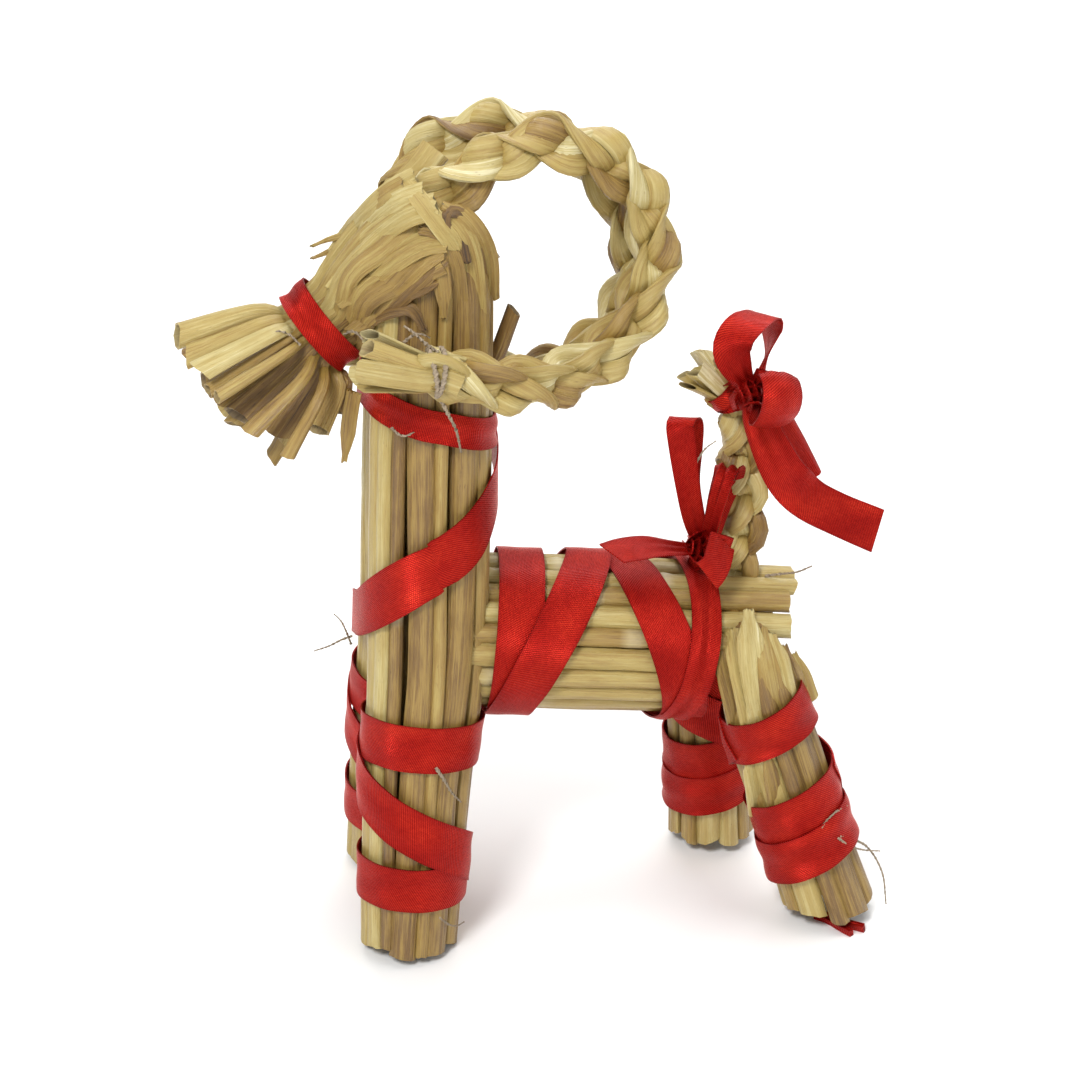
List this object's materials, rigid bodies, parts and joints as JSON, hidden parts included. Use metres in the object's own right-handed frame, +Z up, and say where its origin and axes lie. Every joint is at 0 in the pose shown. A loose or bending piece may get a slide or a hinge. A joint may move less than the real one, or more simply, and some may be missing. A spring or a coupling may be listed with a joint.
{
  "type": "straw goat ornament",
  "caption": "Standing goat made of bundled straw bound with red satin ribbon, with braided ring horns, a braided tail and ribbon bows.",
  "frame": {"origin": "centre of the bounding box at the ground the feet stand on", "axes": "+Z up, -X the way the goat looks, +Y towards its right side"},
  "size_m": [0.1455, 0.0676, 0.172],
  "materials": {
    "straw": "satin, fibrous",
    "red_satin": "satin",
    "twine": "rough"
  },
  "bodies": {
    "root": {"front_bundle": "straw", "body_bundle": "straw", "hind_bundle": "straw", "tail": "straw", "left_horn": "straw", "right_horn": "straw", "muzzle_ribbon": "red_satin", "neck_ribbon": "red_satin", "left_front_leg_ribbon": "red_satin", "right_front_leg_ribbon": "red_satin", "left_hind_leg_ribbon": "red_satin", "right_hind_leg_ribbon": "red_satin", "body_ribbon": "red_satin", "tail_ribbon": "red_satin", "left_horn_twine": "twine", "right_horn_twine": "twine"}
  },
  "joints": []
}
